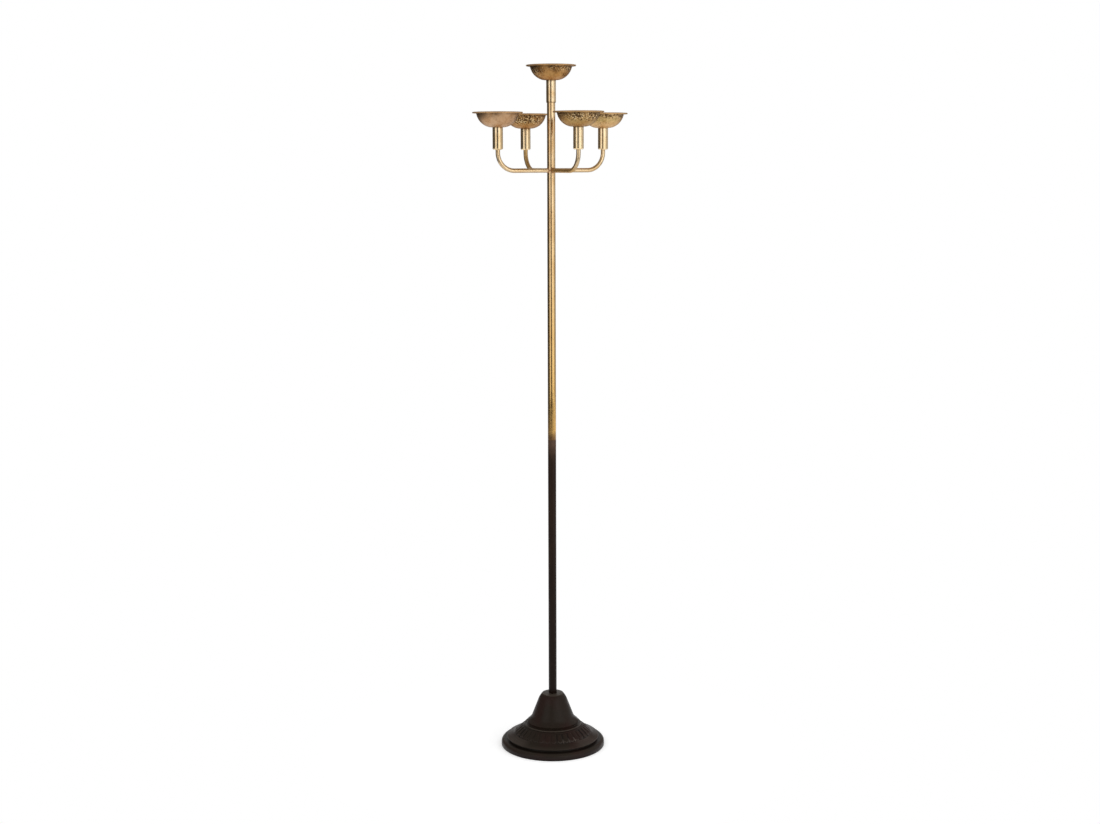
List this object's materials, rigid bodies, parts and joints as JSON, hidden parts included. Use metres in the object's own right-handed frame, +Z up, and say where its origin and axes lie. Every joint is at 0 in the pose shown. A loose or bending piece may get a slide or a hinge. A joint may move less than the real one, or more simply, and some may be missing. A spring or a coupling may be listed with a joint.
{
  "type": "floor candelabrum",
  "caption": "Free-standing floor candelabrum: slim post on a round stepped base, bent arms in a level cross, and a wide drip bowl over each candle cup.",
  "frame": {"origin": "on the floor, on the axis of the post", "axes": "+Z up along the post; +X along the right arm; +Y along the back arm"},
  "size_m": [0.3816, 0.3816, 1.601],
  "materials": {
    "aged_brass": "aged, polished",
    "bowl_brass": "dull, mottled",
    "dark_tube": "dark brown, satin",
    "dark_iron": "dark brown, satin",
    "steel_hardware": "plain"
  },
  "bodies": {
    "root": {"base_casting": "dark_iron", "base_washer": "steel_hardware", "base_lock_washer": "steel_hardware", "base_nut": "steel_hardware", "foot_stud": "steel_hardware", "foot_bush": "steel_hardware", "lower_post": "dark_tube", "joint_bush": "steel_hardware", "joint_spigot": "steel_hardware", "upper_post": "aged_brass", "arm_right": "aged_brass", "cup_right": "aged_brass", "screw_right": "steel_hardware", "arm_back": "aged_brass", "cup_back": "aged_brass", "screw_back": "steel_hardware", "arm_left": "aged_brass", "cup_left": "aged_brass", "screw_left": "steel_hardware", "arm_front": "aged_brass", "cup_front": "aged_brass", "screw_front": "steel_hardware"},
    "bowl_right": {"bowl_right": "bowl_brass", "collar_right": "bowl_brass"},
    "bowl_back": {"bowl_back": "bowl_brass", "collar_back": "bowl_brass"},
    "bowl_left": {"bowl_left": "bowl_brass", "collar_left": "bowl_brass"},
    "bowl_front": {"bowl_front": "bowl_brass", "collar_front": "bowl_brass"},
    "top_cup": {"top_cup": "aged_brass"},
    "bowl_top": {"bowl_top": "bowl_brass", "collar_top": "bowl_brass"}
  },
  "joints": [
    {"name": "bowl_right_lift", "type": "slide", "parent": "root", "child": "bowl_right", "axis": [0, 0, 1], "range_m": [0, 0.03]},
    {"name": "bowl_back_lift", "type": "slide", "parent": "root", "child": "bowl_back", "axis": [0, 0, 1], "range_m": [0, 0.03]},
    {"name": "bowl_left_lift", "type": "slide", "parent": "root", "child": "bowl_left", "axis": [0, 0, 1], "range_m": [0, 0.03]},
    {"name": "bowl_front_lift", "type": "slide", "parent": "root", "child": "bowl_front", "axis": [0, 0, 1], "range_m": [0, 0.03]},
    {"name": "top_cup_lift", "type": "slide", "parent": "root", "child": "top_cup", "axis": [0, 0, 1], "range_m": [0, 0.04]},
    {"name": "bowl_top_lift", "type": "slide", "parent": "top_cup", "child": "bowl_top", "axis": [0, 0, 1], "range_m": [0, 0.03]}
  ]
}
